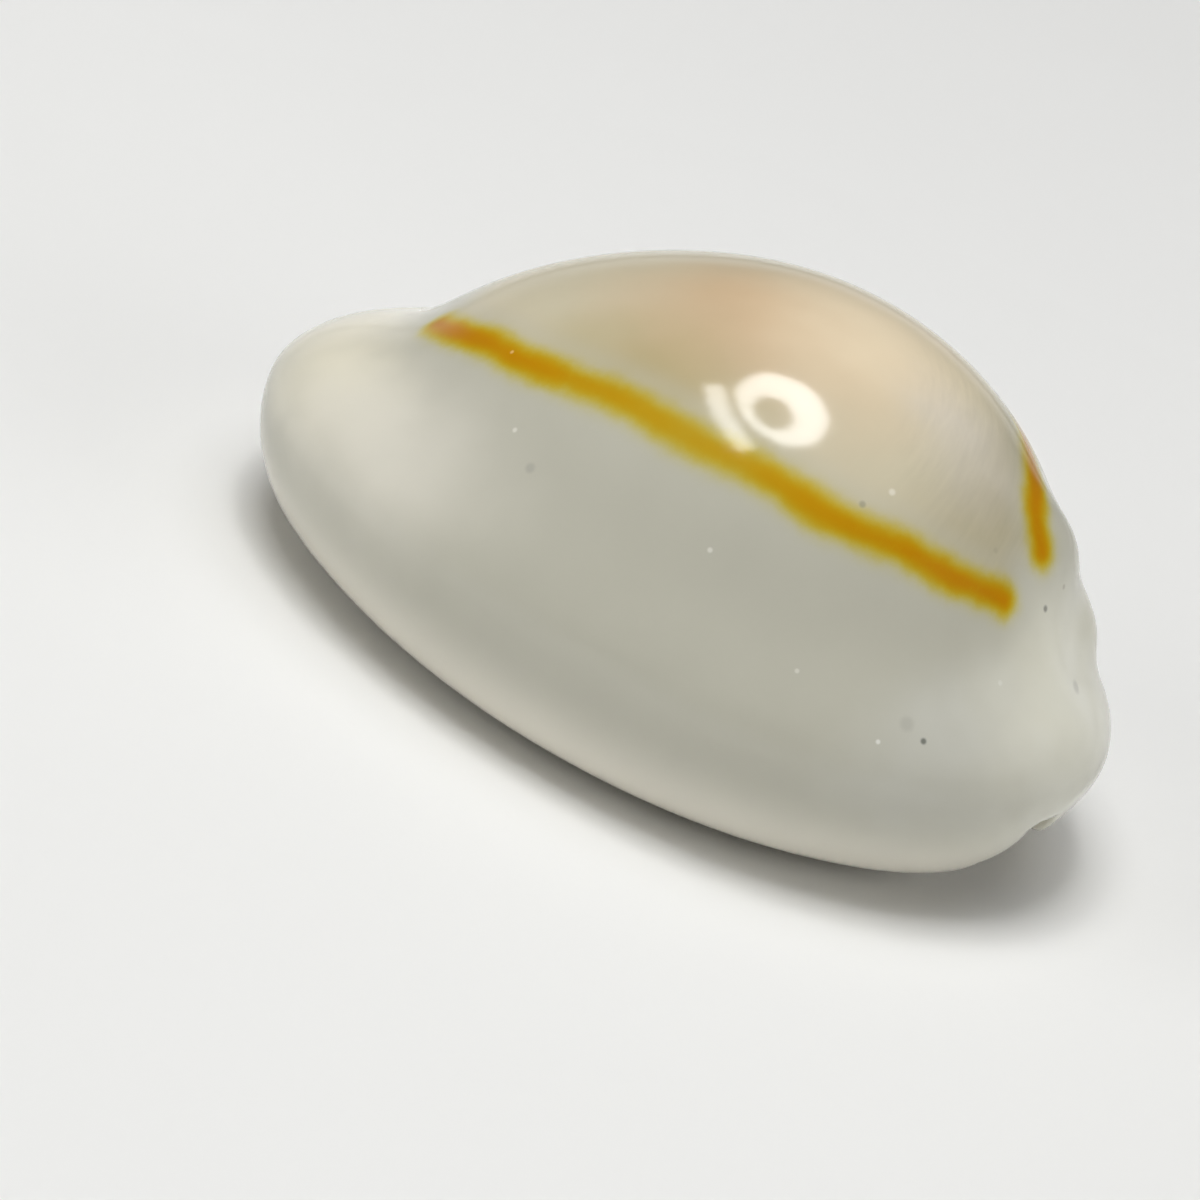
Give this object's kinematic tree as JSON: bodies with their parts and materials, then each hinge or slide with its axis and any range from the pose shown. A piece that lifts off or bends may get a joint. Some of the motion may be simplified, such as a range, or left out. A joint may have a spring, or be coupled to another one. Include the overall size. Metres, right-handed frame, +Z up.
{
  "type": "gold ring cowrie shell",
  "caption": "Glossy humped cowrie shell with a gold ring on its back, a thick rim and a narrow toothed slit on its flat mouth side.",
  "frame": {"origin": "on the rest plane, below the middle of the shell's bounding box", "axes": "+X along the shell towards its hind (spire) end, +Y towards the outer lip side, +Z up through the humped back"},
  "size_m": [0.0246, 0.017, 0.0122],
  "materials": {
    "shell": "gloss"
  },
  "bodies": {
    "root": {"shell": "shell"}
  },
  "joints": []
}
